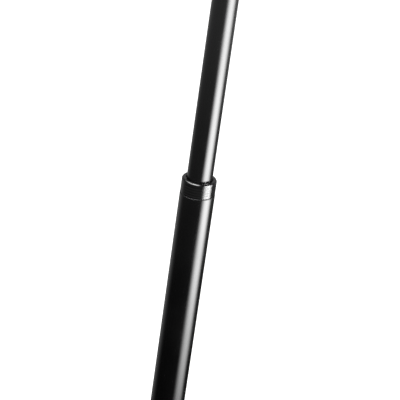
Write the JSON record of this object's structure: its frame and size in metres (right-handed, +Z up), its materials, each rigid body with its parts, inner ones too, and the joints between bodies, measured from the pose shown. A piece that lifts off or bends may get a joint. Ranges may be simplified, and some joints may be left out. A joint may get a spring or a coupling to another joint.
{
  "type": "music stand",
  "caption": "Orchestra music stand: tripod base, telescopic clutch shaft that slides and swivels, and a tilting sheet-metal desk with a ledge.",
  "frame": {"origin": "on the floor, at the centre of the footprint of the whole stand at rest", "axes": "+Z up along the shaft, -Y towards the player, +X to the player's right"},
  "size_m": [0.508, 0.417, 1.246],
  "materials": {
    "tube_enamel": "gloss",
    "base_enamel": "gloss",
    "collar_black": "gloss",
    "desk_black": "satin",
    "bracket_black": "satin",
    "neck_black": "satin",
    "rivet_black": "satin",
    "zinc_steel": "satin",
    "spring_steel": "satin",
    "foot_rubber": "matte",
    "bush_nylon": "satin",
    "plug_black": "matte",
    "liner_fibre": "matte",
    "wiper_felt": "matte"
  },
  "bodies": {
    "base": {"hub": "base_enamel", "leg_rear": "base_enamel", "leg_left": "base_enamel", "leg_right": "base_enamel", "foot_rear": "foot_rubber", "foot_left": "foot_rubber", "foot_right": "foot_rubber", "tube_plug": "zinc_steel", "stop_bumper": "foot_rubber", "base_washer": "zinc_steel", "lock_washer": "zinc_steel", "base_bolt": "zinc_steel", "lower_tube": "tube_enamel", "collar": "collar_black", "felt_wiper": "wiper_felt", "bearing_bush": "bush_nylon", "clutch_sleeve": "spring_steel", "clutch_liner": "liner_fibre", "garter_spring": "spring_steel"},
    "slider": {"guide_bush": "bush_nylon"},
    "upper_shaft": {"upper_tube": "tube_enamel", "end_plug": "plug_black", "retaining_clip": "spring_steel", "neck": "neck_black", "neck_pin": "spring_steel", "friction_discs": "liner_fibre"},
    "desk": {"desk": "desk_black", "desk_rivets": "rivet_black", "spreader_plate": "bracket_black", "tilt_clevis": "bracket_black", "pivot_bolt": "zinc_steel", "pivot_washers": "zinc_steel", "disc_springs": "spring_steel", "pivot_nut": "zinc_steel"}
  },
  "joints": [
    {"name": "height_slide", "type": "slide", "parent": "base", "child": "slider", "axis": [0, 0, 1], "range_m": [-0.3, 0.225]},
    {"name": "swivel", "type": "hinge", "parent": "slider", "child": "upper_shaft", "pos_m": [0, -0.06, 0.407], "axis": [0, 0, 1], "continuous": true},
    {"name": "desk_tilt", "type": "hinge", "parent": "upper_shaft", "child": "desk", "pos_m": [0, -0.06, 1.08], "axis": [-1, 0, 0], "range_deg": [-25, 65]}
  ]
}
